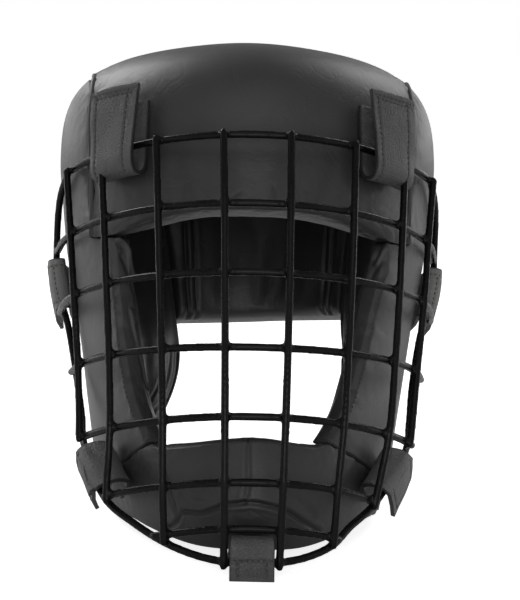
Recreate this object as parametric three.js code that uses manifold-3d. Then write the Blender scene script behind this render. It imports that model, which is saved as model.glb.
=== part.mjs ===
import * as THREE from 'three';
import { mergeVertices } from 'three/addons/utils/BufferGeometryUtils.js';
import Module from 'manifold-3d';

// Sparring headgear: leather pads sewn into an open helmet, with a welded wire face cage
// held on by seven folded leather straps. It is drawn upright, and then leans back to stand
// on its chin strap and the two rear corners of its side pads.
// Millimetres. +x is to the right as seen from the front, +y to the back, +z up.

const wasm = await Module();
wasm.setup();

// Driving dimensions.
const lean = THREE.MathUtils.degToRad(20);
const restFront = new THREE.Vector3(0, 17, -167);
const middle = 165;
const shoulder = 90;
const domeHeight = 69;
const domeFullness = { front: 2.7, side: 3.6 };
const padThickness = 25;
const seamGap = 0.6;
const seamRound = 3;
const edgeRound = 5;
const wireSize = 4.2;
const wireSides = 6;
// Two crossing wires are pressed a sixth of their size into each other.
const weldSpacing = 0.84 * wireSize;
const strapThickness = 2.4;

// Outer shell of the padding, level by level: half its width, and where it starts and ends.
const shellLevels = [
  { z: -158, halfWidth: 50, front: 70, back: 246 },
  { z: -148, halfWidth: 63, front: 53, back: 254 },
  { z: -134, halfWidth: 73, front: 40, back: 262 },
  { z: -112, halfWidth: 81, front: 34, back: 268 },
  { z: -84, halfWidth: 88, front: 35, back: 272 },
  { z: -45, halfWidth: 94, front: 38, back: 276 },
  { z: 0, halfWidth: 101, front: 38, back: 279 },
  { z: 40, halfWidth: 108.5, front: 38, back: 280 },
  { z: 72, halfWidth: 112, front: 40, back: 280 },
  { z: shoulder, halfWidth: 114.5, front: 42, back: 279 },
];

// A column of a table at any place along it, eased between rows.
function sample(rows, along, column, at) {
  let i = 0;
  while (i < rows.length - 2 && at > rows[i + 1][along]) {
    i += 1;
  }
  const slope = (a, b) => {
    const first = rows[Math.max(a, 0)];
    const last = rows[Math.min(b, rows.length - 1)];
    return (last[column] - first[column]) / (last[along] - first[along]);
  };
  const span = rows[i + 1][along] - rows[i][along];
  const t = THREE.MathUtils.clamp((at - rows[i][along]) / span, 0, 1);
  const startSlope = slope(i - 1, i + 1) * span;
  const endSlope = slope(i, i + 2) * span;
  const start = rows[i][column];
  const rise = rows[i + 1][column] - start;
  const square = 3 * rise - 2 * startSlope - endSlope;
  const cube = startSlope + endSlope - 2 * rise;
  return start + t * (startSlope + t * (square + t * cube));
}

// How square the dome's outline is in a direction: along and across are its two shares.
function fullness(across, along) {
  const side = across ** 2 / (across ** 2 + along ** 2 || 1);
  return THREE.MathUtils.lerp(domeFullness.front, domeFullness.side, side ** 2);
}

// 1 on the outer surface of the padding, less inside it and more outside.
function shellFill(point) {
  const level = Math.min(point.z, shoulder);
  const across = point.x / sample(shellLevels, 'z', 'halfWidth', level);
  const edge = sample(shellLevels, 'z', point.y < middle ? 'front' : 'back', level);
  const along = (point.y - middle) / (edge - middle);
  const ring = Math.hypot(across, along);
  if (point.z <= shoulder) {
    return ring;
  }
  const power = fullness(across, along);
  return (ring ** power + ((point.z - shoulder) / domeHeight) ** power) ** (1 / power);
}

// The point carried straight out or in to the outer surface of the padding.
function onShell(point) {
  const fill = shellFill(point);
  const height = point.z > shoulder ? shoulder + (point.z - shoulder) / fill : point.z;
  return new THREE.Vector3(point.x / fill, middle + (point.y - middle) / fill, height);
}

function outward(point) {
  const step = 0.5;
  const slope = (axis) => {
    const ahead = point.clone();
    const behind = point.clone();
    ahead[axis] += step;
    behind[axis] -= step;
    return shellFill(ahead) - shellFill(behind);
  };
  return new THREE.Vector3(slope('x'), slope('y'), slope('z')).normalize();
}

// The place on the shell that a point stands straight over, found in a few passes.
const footPasses = 8;
function footOf(point) {
  let foot = onShell(point);
  for (let pass = 0; pass < footPasses; pass += 1) {
    const out = outward(foot);
    const height = point.clone().sub(foot).dot(out);
    foot = onShell(point.clone().addScaledVector(out, -height));
  }
  return foot;
}

// A point of the shell's front half at a given x and height.
function frontPoint(x, z) {
  const halfWidth = sample(shellLevels, 'z', 'halfWidth', z);
  const front = sample(shellLevels, 'z', 'front', z);
  return new THREE.Vector3(x, middle - (middle - front) * Math.sqrt(1 - (x / halfWidth) ** 2), z);
}

// A point of the shell at an angle round from the front and a height on the wall or dome.
function ringPoint(angle, z) {
  const level = Math.min(z, shoulder);
  const halfWidth = sample(shellLevels, 'z', 'halfWidth', level);
  const edge = sample(shellLevels, 'z', Math.abs(angle) < 90 ? 'front' : 'back', level);
  const turn = THREE.MathUtils.degToRad(angle);
  const power = fullness(Math.sin(turn), Math.cos(turn));
  const shrink = (1 - (Math.max(z - shoulder, 0) / domeHeight) ** power) ** (1 / power);
  const x = shrink * halfWidth * Math.sin(turn);
  return new THREE.Vector3(x, middle + shrink * Math.abs(edge - middle) * -Math.cos(turn), z);
}

// The back of the helmet sits a little off centre, drawn over by its closure.
const backShift = { reach: 22, from: 180, to: 265 };
function drawnOver(point) {
  const shift = backShift.reach * THREE.MathUtils.smoothstep(point.y, backShift.from, backShift.to);
  return onShell(new THREE.Vector3(point.x + shift, point.y, point.z));
}

// The long seam down each side of the forehead, crown and back pads, from the corner of the
// eye up over the dome and down to the nape: the angle round from the front on the left and
// on the right, and the height.
const sideSeam = [
  { left: 47, right: 47, z: 30 },
  { left: 59, right: 59, z: 35 },
  { left: 57.6, right: 57.6, z: 46 },
  { left: 56.2, right: 56.2, z: 67 },
  { left: 55.6, right: 55.6, z: 88 },
  { left: 56.2, right: 56.2, z: 105 },
  { left: 57.6, right: 57.6, z: 120 },
  { left: 64, right: 64, z: 136 },
  { left: 76, right: 76, z: 144.3 },
  { left: 90, right: 90, z: 146.8 },
  { left: 103, right: 103, z: 144.5 },
  { left: 115, right: 115, z: 137.5 },
  { left: 125.5, right: 124, z: 125 },
  { left: 133.5, right: 131, z: 108 },
  { left: 138, right: 135, z: 88 },
  { left: 140, right: 137, z: 63 },
  { left: 140.5, right: 137, z: 39 },
  { left: 140.3, right: 136, z: 15 },
];
const seamStart = { forehead: 1, top: 6, crown: 8, back: 11, rear: 12, nape: 17 };

// The lower edge of a side pad, from the corner of the mouth along the chin seam and the jaw
// to the nape. The jaw corner at 104 to 116 degrees is what the helmet stands on.
const jawEdge = [
  { left: 39.5, right: 28, z: -87.7 },
  { left: 56, right: 52, z: -97 },
  { left: 70, right: 70, z: -106 },
  { left: 82, right: 82, z: -113 },
  { left: 95, right: 95, z: -109.8 },
  { left: 105.5, right: 105.5, z: -106.5 },
  { left: 115, right: 115, z: -102.5 },
];
// The rear edge of a side pad, up from the jaw corner to the back pad.
const napeEdge = [
  { left: 119, right: 118.5, z: -79 },
  { left: 127, right: 122, z: -56 },
  { left: 135.5, right: 121.5, z: -37 },
  { left: 139.5, right: 125, z: -21 },
  { left: 141, right: 131, z: -8 },
  { left: 140.8, right: 134.5, z: 4 },
];
// The front edge of each side pad, up beside the face. The right one stands further in.
const cheekEdge = [
  { left: 65.3, right: 54.5, z: -68 },
  { left: 70.5, right: 60.5, z: -48 },
  { left: 73.5, right: 65.8, z: -28 },
  { left: 75.7, right: 70.3, z: -8 },
  { left: 78, right: 75, z: 11 },
];
// The lower edge of the forehead pad, from the middle outwards.
const browEdge = [
  { x: 0, z: 38.3 },
  { x: 36, z: 38.3 },
  { x: 54, z: 36.5 },
  { x: 75, z: 31 },
  { x: 93, z: 30 },
];
const crownFront = { middle: 122, side: 140 };
const crownBack = { middle: 226, side: 213 };
const nape = { halfAngle: 42, side: 15, middle: 21 };
const stripColumns = 11;

// The middle of the chin pad's upper edge, which goes on along the jaw, and its lower edge.
const chinTop = [
  { angle: -27, z: -89.5 },
  { angle: -14, z: -87.7 },
  { angle: 0, z: -86.5 },
  { angle: 9.5, z: -87.2 },
  { angle: 19, z: -89.5 },
];
const chinBottom = [
  { angle: 0, z: -150.2 },
  { angle: 14, z: -150 },
  { angle: 27, z: -148 },
  { angle: 39.5, z: -142.5 },
  { angle: 56, z: -130 },
  { angle: 70, z: -120 },
  { angle: 82, z: -117 },
];

// Fills in the net of points between four edges, each a row of points on the shell.
function net({ bottom, top, left, right }) {
  const lastColumn = bottom.length - 1;
  const lastRow = left.length - 1;
  return left.map((_, j) => bottom.map((__, i) => {
    const u = i / lastColumn;
    const v = j / lastRow;
    const point = new THREE.Vector3();
    point.addScaledVector(bottom[i], 1 - v).addScaledVector(top[i], v);
    point.addScaledVector(left[j], 1 - u).addScaledVector(right[j], u);
    point.addScaledVector(bottom[0], -(1 - u) * (1 - v));
    point.addScaledVector(bottom[lastColumn], -u * (1 - v));
    point.addScaledVector(top[0], -(1 - u) * v);
    point.addScaledVector(top[lastColumn], -u * v);
    return onShell(point);
  }));
}

// A row of a pad drawn in by the seam gap at both ends, with one more place beside each end
// where the rounding of the edge stops. Each place has its outer and its inner point.
const trimLimit = 0.45;
function trimmed(row, startRound, endRound) {
  const drawn = (from, to, distance) => {
    return from.clone().lerp(to, Math.min(distance / from.distanceTo(to), trimLimit));
  };
  const towards = (from, to, distance) => ({
    outer: drawn(from.outer, to.outer, distance),
    inner: drawn(from.inner, to.inner, distance),
  });
  const n = row.length;
  return [
    towards(row[0], row[1], seamGap),
    towards(row[0], row[1], startRound),
    ...row.slice(1, n - 1),
    towards(row[n - 1], row[n - 2], endRound),
    towards(row[n - 1], row[n - 2], seamGap),
  ];
}

// The walls of two pads that meet at a seam are faceted the same way.
const wallOrder = new THREE.Vector3(1, 2, 3);

const turned = (rows) => rows[0].map((_, i) => rows.map((row) => row[i]));

// The net of a pad with its outer and inner points, drawn in at its four edges.
function padRows(edges, round, thickness) {
  const points = net(edges);
  let rows = points.map((row, j) => row.map((outer, i) => {
    const depth = thickness(i / (row.length - 1), j / (points.length - 1));
    return { outer, inner: outer.clone().addScaledVector(outward(outer), -depth) };
  }));
  rows = rows.map((row) => trimmed(row, round.left, round.right));
  return turned(turned(rows).map((column) => trimmed(column, round.bottom, round.top)));
}

// A padded panel: its outer face on the shell, its inner face one thickness in, and its
// edges rounded off, each by no more than a share of the thickness.
const roundLimit = 0.4;
function padGeometry(edges, round, thickness = () => padThickness) {
  const rows = padRows(edges, round, thickness);
  const columns = rows[0].length;
  const count = rows.length * columns;
  const depthAt = (at, last, start, end) => {
    if (at === 0) {
      return start;
    }
    return at === last ? end : 0;
  };
  const edgeDepth = (i, j) => Math.max(
    depthAt(i, columns - 1, round.left, round.right),
    depthAt(j, rows.length - 1, round.bottom, round.top),
  );
  const positions = [];
  for (const [face, opposite] of [['outer', 'inner'], ['inner', 'outer']]) {
    rows.forEach((row, j) => row.forEach((place, i) => {
      const share = Math.min(edgeDepth(i, j) / place.outer.distanceTo(place.inner), roundLimit);
      positions.push(...place[face].clone().lerp(place[opposite], share));
    }));
  }
  const index = [];
  const quad = (a, b, c, d) => index.push(a, b, c, a, c, d);
  for (let j = 0; j < rows.length - 1; j += 1) {
    for (let i = 0; i < columns - 1; i += 1) {
      const a = j * columns + i;
      quad(a, a + 1, a + columns + 1, a + columns);
      quad(count + a, count + a + columns, count + a + columns + 1, count + a + 1);
    }
  }
  const walk = (length, place) => Array.from({ length }, (_, k) => place(k));
  const rim = [
    ...walk(columns - 1, (k) => k),
    ...walk(rows.length - 1, (k) => (k + 1) * columns - 1),
    ...walk(columns - 1, (k) => count - 1 - k),
    ...walk(rows.length - 1, (k) => count - (k + 1) * columns),
  ];
  const order = (k) => new THREE.Vector3().fromArray(positions, 3 * k).dot(wallOrder);
  rim.forEach((a, k) => {
    const b = rim[(k + 1) % rim.length];
    if (order(a) < order(b)) {
      quad(a, count + a, count + b, b);
    } else {
      quad(b, a, count + a, count + b);
    }
  });
  const geometry = new THREE.BufferGeometry();
  geometry.setAttribute('position', new THREE.Float32BufferAttribute(positions, 3));
  geometry.setIndex(index);
  return geometry;
}

const helmet = new THREE.Group();

function addPiece(name, geometry, finish) {
  const mesh = new THREE.Mesh(geometry, new THREE.MeshStandardMaterial(finish));
  mesh.name = name;
  helmet.add(mesh);
}

// An edge's points on one side, side being 1 on the right and -1 on the left.
const sideName = (side) => (side > 0 ? 'right' : 'left');
function edgePoints(rows, side) {
  return rows.map((row) => drawnOver(ringPoint(side * row[sideName(side)], row.z)));
}
const seamPoints = (side, from, to) => edgePoints(sideSeam.slice(from, to + 1), side);
const seamPoint = (side, station) => seamPoints(side, station, station)[0];

function acrossStrip(place) {
  const columns = Array.from({ length: stripColumns }, (_, i) => (2 * i) / (stripColumns - 1) - 1);
  return columns.map(place);
}

// A line across the top of the dome, bowed between its two ends.
function crownLine(bow, station) {
  const end = seamPoint(1, station);
  return acrossStrip((c) => {
    const y = bow.middle + (bow.side - bow.middle) * c * c;
    return onShell(new THREE.Vector3(c * end.x, y, shoulder + domeHeight));
  });
}

const browLine = acrossStrip((c) => {
  const x = browEdge.at(-1).x * c;
  return onShell(frontPoint(x, sample(browEdge, 'x', 'z', Math.abs(x))));
});
// The brow passes through the side pads' front corners.
browLine[1] = seamPoint(-1, 0);
browLine[stripColumns - 2] = seamPoint(1, 0);
const napeLine = acrossStrip((c) => {
  const z = THREE.MathUtils.lerp(nape.middle, nape.side, c * c);
  return drawnOver(ringPoint(180 - nape.halfAngle * c, z));
});
const crownFrontLine = crownLine(crownFront, seamStart.crown);
const crownBackLine = crownLine(crownBack, seamStart.back);

// Puts a line's ends exactly on the side seams.
function endsOnSeams(line, station) {
  return [seamPoint(-1, station), ...line.slice(1, -1), seamPoint(1, station)];
}
const lines = {
  brow: endsOnSeams(browLine, seamStart.forehead),
  crownFront: endsOnSeams(crownFrontLine, seamStart.crown),
  crownBack: endsOnSeams(crownBackLine, seamStart.back),
  nape: endsOnSeams(napeLine, seamStart.nape),
};
const stripEdges = (bottom, top, from, to) => ({
  bottom,
  top,
  left: seamPoints(-1, from, to),
  right: seamPoints(1, from, to),
});

const padLeather = { color: 0x26262a, roughness: 0.5 };
const seamed = { left: seamRound, right: seamRound, bottom: seamRound, top: seamRound };
const openBelow = { ...seamed, bottom: edgeRound };

// Forehead pad.
const foreheadEdges = stripEdges(lines.brow, lines.crownFront, seamStart.forehead, seamStart.crown);
addPiece('forehead_pad', padGeometry(foreheadEdges, openBelow), padLeather);

// Crown pad.
const crownEdges = stripEdges(lines.crownFront, lines.crownBack, seamStart.crown, seamStart.back);
addPiece('crown_pad', padGeometry(crownEdges, seamed), padLeather);

// Back pad. Its rows run up from the nape.
function backPad() {
  const down = stripEdges(lines.crownBack, lines.nape, seamStart.back, seamStart.nape);
  const bottom = down.top.toReversed();
  const top = down.bottom.toReversed();
  const left = down.right.toReversed();
  const right = down.left.toReversed();
  return padGeometry({ bottom, top, left, right }, openBelow);
}
addPiece('back_pad', backPad(), padLeather);

// Side pads. The net runs from the jaw up to the seam over the dome, and from the face and the
// temple seam back to the nape. A side pad is thinner beside the face.
const cheekRound = 4;
const rearRound = 4;
const cheekTaper = { front: 16, over: 0.42, from: 0.36, to: 0.5 };
function sidePad(side) {
  const bottom = edgePoints(jawEdge, side);
  const top = seamPoints(side, seamStart.top, seamStart.rear);
  const cheek = cheekEdge.map((row) => onShell(frontPoint(side * row[sideName(side)], row.z)));
  const front = [bottom[0], ...cheek, ...seamPoints(side, 0, seamStart.top)];
  const rear = seamPoints(side, seamStart.rear, seamStart.nape).toReversed();
  const back = [bottom.at(-1), ...edgePoints(napeEdge, side), ...rear];
  const thickness = (u, v) => {
    const rearShare = THREE.MathUtils.smoothstep(side > 0 ? u : 1 - u, 0, cheekTaper.over);
    const topShare = THREE.MathUtils.smoothstep(v, cheekTaper.from, cheekTaper.to);
    return THREE.MathUtils.lerp(cheekTaper.front, padThickness, Math.max(rearShare, topShare));
  };
  if (side > 0) {
    const round = { left: cheekRound, right: rearRound, bottom: cheekRound, top: seamRound };
    return padGeometry({ bottom, top, left: front, right: back }, round, thickness);
  }
  const round = { left: rearRound, right: cheekRound, bottom: cheekRound, top: seamRound };
  bottom.reverse();
  top.reverse();
  return padGeometry({ bottom, top, left: back, right: front }, round, thickness);
}
addPiece('side_pad_left', sidePad(-1), padLeather);
addPiece('side_pad_right', sidePad(1), padLeather);

// Chin pad, which shares its upper edge with the first few rows of the jaw edge.
const chinThickness = 20;
const chinRound = { left: 1, right: 1, bottom: 5, top: 5 };
const chinRows = 6;
const chinSide = 4;
function chinPad() {
  const upper = [
    ...jawEdge.slice(0, chinSide).map(({ left, z }) => ({ angle: -left, z })).reverse(),
    ...chinTop,
    ...jawEdge.slice(0, chinSide).map(({ right, z }) => ({ angle: right, z })),
  ];
  const top = upper.map(({ angle, z }) => ringPoint(angle, z));
  const bottom = upper.map(({ angle }) => {
    return ringPoint(angle, sample(chinBottom, 'angle', 'z', Math.abs(angle)));
  });
  const end = (at) => Array.from({ length: chinRows }, (_, j) => {
    return onShell(bottom.at(at).clone().lerp(top.at(at), j / (chinRows - 1)));
  });
  const edges = { bottom, top, left: end(0), right: end(-1) };
  return padGeometry(edges, chinRound, () => chinThickness);
}
addPiece('chin_pad', chinPad(), padLeather);

// Face cage. Its cross wires, from the brow down: height at the middle and how much the ends
// lift, the front of the wire, the ellipse that it follows, and where it ends.
const crossWires = [
  { z: 76.8, lift: 0, front: 26, halfWidth: 124.4, depth: 183, end: 60, steps: 16 },
  { z: 34.5, lift: 3, front: 12, halfWidth: 114.6, depth: 168, end: 82, steps: 18 },
  { z: -5, lift: 4, front: 5, halfWidth: 111, depth: 160, end: 85, steps: 18 },
  { z: -46.1, lift: 5.5, front: 2, halfWidth: 103.5, depth: 150, end: 79, steps: 18 },
  { z: -82.6, lift: -2, front: 4, halfWidth: 103, depth: 140, end: 65.3, steps: 14 },
  { z: -116.4, lift: -5, front: 10, halfWidth: 95, depth: 130, end: 53, steps: 12 },
  { z: -139.8, lift: -10, front: 18, halfWidth: 85, depth: 110, end: 37, steps: 8 },
];
// The upright wires on each side, from the middle outwards: x at the top cross wire and, on
// the left and the right, at the bottom one, the cross wire that they run down to, and how far
// they stand out beyond their first and last one.
const uprights = [
  { top: 18.6, left: 15, right: 15, to: 6, head: 3, tail: 22 },
  { top: 55.5, left: 45.5, right: 45.5, to: 6, head: 3, tail: 7 },
  { top: 86.4, left: 72, right: 72, to: 5, head: 3, tail: 6 },
  { top: 107.2, left: 88, right: 84, to: 4, head: 0.5, tail: 4 },
];
// The rim from the top cross wire's end, back past the ear and round under the chin.
const rimRoute = [
  { x: 106.4, y: 115, z: 76.8 },
  { x: 111.5, y: 135, z: 67 },
  { x: 113.6, y: 154, z: 47 },
  { x: 112.6, y: 160, z: 20 },
  { x: 105, y: 156, z: -8 },
  { x: 98.8, y: 144, z: -40 },
  { x: 94.3, y: 120, z: -66 },
  { x: 90.3, y: 93, z: -87 },
  { x: 74, y: 66, z: -120 },
  { x: 59, y: 50, z: -134.5 },
  { x: 45, y: 38, z: -145.5 },
  { x: 29.5, y: 29, z: -152.8 },
  { x: 15, y: 24.5, z: -156.3 },
  { x: 0, y: 23.5, z: -157.2 },
];

function wirePoint(wire, degrees) {
  const turn = THREE.MathUtils.degToRad(degrees);
  const x = wire.halfWidth * Math.sin(turn);
  const y = wire.front + wire.depth * (1 - Math.cos(turn));
  return new THREE.Vector3(x, y, wire.z + wire.lift * (x / 100) ** 2);
}
// Straight out from a cross wire, in its own level.
function wireOut(wire, degrees) {
  const turn = THREE.MathUtils.degToRad(degrees);
  const out = new THREE.Vector3(wire.depth * Math.sin(turn), -wire.halfWidth * Math.cos(turn), 0);
  return out.normalize();
}

// The lower corners of the cage are bent a little to the left.
const cageBend = {
  left: { reach: -4, from: 70, to: 120 },
  right: { reach: -7.5, from: 60, to: 150 },
  middle: 35,
  side: 70,
};
function bent(point) {
  const { reach, from, to } = cageBend[sideName(point.x)];
  const down = THREE.MathUtils.smoothstep(-point.z, from, to);
  const across = THREE.MathUtils.smoothstep(Math.abs(point.x), cageBend.middle, cageBend.side);
  return new THREE.Vector3(point.x + reach * down * across, point.y, point.z);
}

function solidOf(geometry) {
  const plain = geometry.clone();
  plain.deleteAttribute('normal');
  plain.deleteAttribute('uv');
  const merged = mergeVertices(plain, 1e-4);
  return new wasm.Manifold(new wasm.Mesh({
    numProp: 3,
    vertProperties: new Float32Array(merged.attributes.position.array),
    triVerts: new Uint32Array(merged.index.array),
  }));
}
function geometryOf(solid) {
  const mesh = solid.getMesh();
  const geometry = new THREE.BufferGeometry();
  geometry.setAttribute('position', new THREE.BufferAttribute(mesh.vertProperties, 3));
  geometry.setIndex(new THREE.BufferAttribute(mesh.triVerts, 1));
  return geometry;
}

function wireSolid(points, steps, size) {
  const section = new THREE.Shape();
  section.setFromPoints(Array.from({ length: wireSides }, (_, k) => {
    const turn = (2 * Math.PI * k) / wireSides;
    return new THREE.Vector2(0.5 * size * Math.cos(turn), 0.5 * size * Math.sin(turn));
  }));
  const extrudePath = new THREE.CatmullRomCurve3(points);
  return solidOf(new THREE.ExtrudeGeometry(section, { steps, extrudePath }));
}

const crossSpans = 12;
const crossPoints = crossWires.map((wire) => {
  return Array.from({ length: crossSpans + 1 }, (_, k) => {
    return bent(wirePoint(wire, wire.end * ((2 * k) / crossSpans - 1)));
  });
});
// The upright wires lie on the front of the cross wires, which they are welded to.
function uprightPoints({ top, to, head, tail, ...bottom }, side) {
  const [highest, lowest] = [crossWires[0].z, crossWires.at(-1).z];
  const points = crossWires.slice(0, to + 1).map((wire) => {
    const share = (highest - wire.z) / (highest - lowest);
    const x = THREE.MathUtils.lerp(top, bottom[sideName(side)], share);
    const turnAt = (distance) => {
      return side * THREE.MathUtils.radToDeg(Math.asin(distance / wire.halfWidth));
    };
    const turn = turnAt(x - weldSpacing * Math.abs(wireOut(wire, turnAt(x)).x));
    return wirePoint(wire, turn).addScaledVector(wireOut(wire, turn), weldSpacing);
  });
  const beyond = (from, last, distance) => {
    return last.clone().addScaledVector(last.clone().sub(from).normalize(), distance);
  };
  const start = beyond(points[1], points[0], head);
  const end = beyond(points.at(-2), points.at(-1), tail);
  return [start, ...points, end].map(bent);
}
const rimSide = (side) => rimRoute.map(({ x, y, z }) => bent(new THREE.Vector3(side * x, y, z)));
const rimPoints = [...rimSide(-1), ...rimSide(1).reverse().slice(1)];
const uprightSteps = 15;
const rimSteps = 56;
// All the wires of the cage as one solid, each with the given thickness.
function cageSolid(size) {
  const crosses = crossPoints.map((points, k) => wireSolid(points, crossWires[k].steps, size));
  const verticals = uprights.flatMap((upright) => {
    return [-1, 1].map((side) => wireSolid(uprightPoints(upright, side), uprightSteps, size));
  });
  const rim = wireSolid(rimPoints, rimSteps, size);
  return wasm.Manifold.union([...crosses, ...verticals, rim]);
}
const coatedWire = { color: 0x0c0c0d, roughness: 0.35, metalness: 0.2 };
addPiece('face_cage', geometryOf(cageSolid(wireSize)), coatedWire);

// A leather band, lofted across its width through lines that run along its length.
function bandGeometry(lengthways) {
  const last = lengthways.length - 1;
  const count = lengthways[0].length;
  const positions = [];
  lengthways.forEach((line, s) => line.forEach((point, i) => {
    const [before, after] = [lengthways[Math.max(s - 1, 0)], lengthways[Math.min(s + 1, last)]];
    const across = after[i].clone().sub(before[i]);
    const along = line[Math.min(i + 1, count - 1)].clone().sub(line[Math.max(i - 1, 0)]);
    const thick = along.cross(across).normalize().multiplyScalar(0.5 * strapThickness);
    positions.push(...point.clone().add(thick), ...point.clone().sub(thick));
  }));
  const index = [];
  const at = (s, i, face) => 2 * (s * count + i) + face;
  const quad = (a, b, c, d) => index.push(a, b, c, a, c, d);
  for (let s = 0; s < last; s += 1) {
    for (let i = 0; i < count - 1; i += 1) {
      quad(at(s, i, 0), at(s, i + 1, 0), at(s + 1, i + 1, 0), at(s + 1, i, 0));
      quad(at(s, i, 1), at(s + 1, i, 1), at(s + 1, i + 1, 1), at(s, i + 1, 1));
    }
    quad(at(s, 0, 0), at(s + 1, 0, 0), at(s + 1, 0, 1), at(s, 0, 1));
    const end = count - 1;
    quad(at(s, end, 0), at(s, end, 1), at(s + 1, end, 1), at(s + 1, end, 0));
  }
  for (let i = 0; i < count - 1; i += 1) {
    quad(at(0, i, 0), at(0, i, 1), at(0, i + 1, 1), at(0, i + 1, 0));
    quad(at(last, i, 0), at(last, i + 1, 0), at(last, i + 1, 1), at(last, i, 1));
  }
  const geometry = new THREE.BufferGeometry();
  geometry.setAttribute('position', new THREE.Float32BufferAttribute(positions, 3));
  geometry.setIndex(index);
  return geometry;
}

// Folded straps. Each loops round a wire and lies on the padding, sewn down by its inner leg.
// The fold is on the side of the face, and the outer leg ends free on the other side.
const strapStations = 5;
const strapArc = [0, 0.25, 0.5, 0.75, 1];
const strapPlay = 0.6;
// The straps are notched where a wire runs through them.
const wireRoom = cageSolid(wireSize + 2 * strapPlay);

// How far along a wire, as a share of its length, it passes a place on an axis.
const placeTolerance = 1e-4;
function shareAt(curve, { axis, at, between }) {
  let [low, high] = between;
  const falling = curve.getPointAt(low)[axis] > curve.getPointAt(high)[axis];
  while (high - low > placeTolerance) {
    const half = 0.5 * (low + high);
    if (curve.getPointAt(half)[axis] > at === falling) {
      low = half;
    } else {
      high = half;
    }
  }
  return low;
}

// One line along a strap: down its inner leg, round the fold and back along its outer leg.
function strapLine(wire, tangent, strap) {
  const skin = footOf(wire);
  const out = outward(skin);
  const level = strap.away.clone().addScaledVector(out, -strap.away.dot(out)).normalize();
  const across = out.clone().cross(tangent).normalize();
  level.lerp(across.multiplyScalar(Math.sign(across.dot(level))), strap.square).normalize();
  const inner = seamGap + strapPlay + 0.5 * strapThickness;
  const wireHeight = wire.clone().sub(skin).dot(out);
  const outer = wireHeight + 0.5 * (wireSize + strapThickness) + strapPlay + strap.over;
  const radius = 0.5 * (outer - inner);
  const point = (reach, height) => {
    const base = onShell(skin.clone().addScaledVector(level, reach));
    return base.clone().addScaledVector(outward(base), height);
  };
  return [
    point(strap.anchor, inner),
    point(0.5 * strap.anchor, inner),
    point(0, inner),
    ...strapArc.map((t) => {
      const height = inner + radius * (1 - Math.cos(Math.PI * t));
      return point(radius - strap.fold - radius * Math.sin(Math.PI * t), height);
    }),
    point(0, outer),
    point(0.5 * strap.free, 0.5 * (outer + strap.end)),
    point(strap.free, strap.end),
  ];
}

function foldedStrap({ route, width, ...strap }) {
  const curve = new THREE.CatmullRomCurve3(route);
  const centre = shareAt(curve, strap);
  const span = width / curve.getLength();
  const lengthways = Array.from({ length: strapStations }, (_, s) => {
    const place = centre + span * (s / (strapStations - 1) - 0.5);
    return strapLine(curve.getPointAt(place), curve.getTangentAt(place), strap);
  });
  return geometryOf(solidOf(bandGeometry(lengthways)).subtract(wireRoom));
}

// The wire that each kind of strap holds, which way its free end points, and its sizes: the
// fold and the two legs reach this far from the wire, and the free end stands this far out.
const upward = new THREE.Vector3(0, 0, 1);
const backward = new THREE.Vector3(0, 1, 0);
const browStrap = {
  route: crossPoints[0],
  axis: 'x',
  away: upward,
  square: 1,
  width: 33,
  fold: 16,
  anchor: 28,
  free: 33,
  over: weldSpacing,
  end: 14,
};
const templeStrap = {
  route: rimPoints,
  axis: 'z',
  at: 18,
  away: backward,
  square: 0.3,
  width: 32,
  fold: 9,
  anchor: 30,
  free: 36,
  over: 0,
  end: 13,
};
const jawStrap = {
  route: rimPoints,
  axis: 'z',
  at: -102,
  away: backward,
  square: 0.4,
  width: 33,
  fold: 8,
  anchor: 16,
  free: 23,
  over: 0.6,
  end: 15,
};
const strapPlaces = [
  { name: 'forehead_strap_left', ...browStrap, at: -75.5, between: [0.1, 0.4] },
  { name: 'forehead_strap_right', ...browStrap, at: 74.5, between: [0.6, 0.9] },
  { name: 'temple_strap_left', ...templeStrap, between: [0.03, 0.25] },
  { name: 'temple_strap_right', ...templeStrap, between: [0.75, 0.97] },
  { name: 'jaw_strap_left', ...jawStrap, between: [0.2, 0.45] },
  { name: 'jaw_strap_right', ...jawStrap, between: [0.55, 0.8] },
];
const strapLeather = { color: 0x2b2b2e, roughness: 0.55 };
strapPlaces.forEach(({ name, ...strap }) => addPiece(name, foldedStrap(strap), strapLeather));

// The chin strap, seen from the side: from under the chin pad, over the rim and down in front.
const chinStrapWidth = 23.6;
const chinStrapLine = [
  { y: 54, z: -150.6 },
  { y: 46, z: -150 },
  { y: 36, z: -148.5 },
  { y: 28.5, z: -146 },
  { y: 23.5, z: -144.4 },
  { y: 20, z: -144.2 },
  { y: 18, z: -146.3 },
  { y: 17.8, z: -151 },
  { y: 18.4, z: -158 },
  { y: 18.2, z: -162 },
  { y: 17, z: -168.2 },
];
const chinStrapLines = [-0.5, 0, 0.5].map((share) => {
  return chinStrapLine.map(({ y, z }) => new THREE.Vector3(share * chinStrapWidth, y, z));
});
addPiece('chin_strap', bandGeometry(chinStrapLines), strapLeather);

// Leans the helmet back, presses the corners that it stands on flat and sets it on the floor.
helmet.rotation.x = -lean;
helmet.updateMatrix();
const floorLevel = restFront.clone().applyMatrix4(helmet.matrix).z;
const bounds = new THREE.Box3();
helmet.children.forEach((mesh) => {
  mesh.geometry.applyMatrix4(helmet.matrix);
  const { position } = mesh.geometry.attributes;
  for (let i = 0; i < position.count; i += 1) {
    position.setZ(i, Math.max(position.getZ(i), floorLevel));
  }
  bounds.expandByObject(mesh);
});
const group = new THREE.Group();
const foot = bounds.getCenter(new THREE.Vector3()).setZ(floorLevel);
helmet.children.slice().forEach((mesh) => {
  mesh.geometry.translate(-foot.x, -foot.y, -foot.z);
  group.add(mesh);
});
export default group;
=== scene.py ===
import math
import bmesh
import bpy
import numpy as np
from mathutils import Matrix, Vector, noise
from mathutils.bvhtree import BVHTree


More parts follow.
